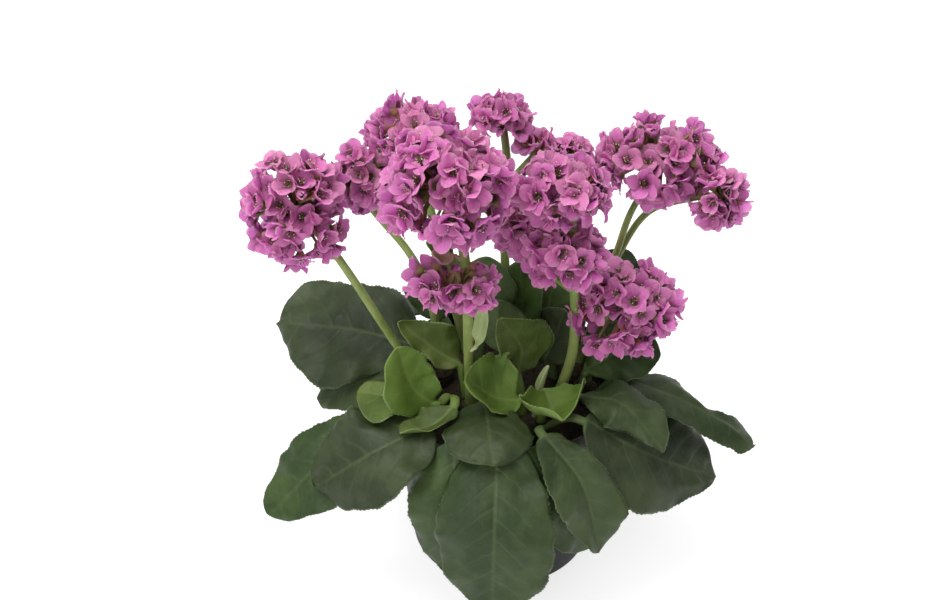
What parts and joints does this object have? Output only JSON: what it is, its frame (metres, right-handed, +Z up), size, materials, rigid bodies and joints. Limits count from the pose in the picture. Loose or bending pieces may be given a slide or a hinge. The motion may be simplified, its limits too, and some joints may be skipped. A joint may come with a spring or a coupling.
{
  "type": "potted bergenia",
  "caption": "Flowering bergenia in a round plastic nursery pot, with leathery rounded leaves that hang over the rim and heads of bell-shaped mauve-pink flowers.",
  "frame": {"origin": "centre of the pot's underside", "axes": "+Z up along the pot's axis; -Y towards the front, the side that the picture shows; +X to the right of it"},
  "size_m": [0.2685, 0.2166, 0.2871],
  "materials": {
    "pot_plastic": "near-black injection-moulded plastic with a soft sheen",
    "potting_soil": "dark crumbly peat and bark, fully rough",
    "rhizome_bark": "brown, ringed with old leaf scars, rough",
    "old_leaf": "dark green, leathery, with a bluish satin sheen and paler veins",
    "young_leaf": "fresh yellow-green, smooth and glossy, with paler veins",
    "bract": "pale, thin and dull",
    "stalk": "fleshy yellow-green, reddish-brown where it forks, softly glossy",
    "petals": "mauve-pink, thin and silky, deeper in the throat"
  },
  "bodies": {
    "root": {"pot": "pot_plastic", "soil": "potting_soil", "rhizome": "rhizome_bark", "leaf_front": "old_leaf", "leaf_front_under": "old_leaf", "leaf_front_right": "old_leaf", "leaf_front_right_low": "old_leaf", "leaf_left_front": "old_leaf", "leaf_left_front_low": "old_leaf", "leaf_left_low": "old_leaf", "leaf_left_back": "old_leaf", "leaf_left_young": "young_leaf", "leaf_left_bright": "young_leaf", "leaf_left_folded": "young_leaf", "leaf_left_curled": "young_leaf", "leaf_centre_front": "young_leaf", "leaf_cup_left": "young_leaf", "leaf_cup_right": "young_leaf", "leaf_centre_back": "young_leaf", "leaf_bud": "young_leaf", "leaf_right_curled": "young_leaf", "leaf_right_front": "old_leaf", "leaf_right": "old_leaf", "leaf_right_back": "old_leaf", "leaf_upright_left": "old_leaf", "leaf_upright_middle": "old_leaf", "leaf_upright_right": "old_leaf", "leaf_dark_right": "old_leaf", "leaf_dark_left": "old_leaf", "leaf_tall_right": "old_leaf", "leaf_tall_left": "old_leaf", "leaf_back_left_low": "old_leaf", "leaf_back_low": "old_leaf", "leaf_back_right_low": "old_leaf", "bract_pale": "bract", "bract_green": "bract", "bract_tan": "bract", "stalk_back": "stalk", "stalk_back_left": "stalk", "stalk_left": "stalk", "stalk_left_back": "stalk", "stalk_middle": "stalk", "stalk_right": "stalk", "stalk_right_back": "stalk", "stalk_right_far": "stalk", "stalk_right_low": "stalk", "flowers_back_left": "petals", "flowers_back_middle": "petals", "flowers_back_right": "petals", "flowers_back_top": "petals", "flowers_left": "petals", "flowers_left_back": "petals", "flowers_middle": "petals", "flowers_middle_low": "petals", "flowers_right_back": "petals", "flowers_right_far": "petals", "flowers_right_front": "petals", "flowers_right_inner": "petals", "flowers_right_low": "petals", "flowers_right_top": "petals"}
  },
  "joints": []
}
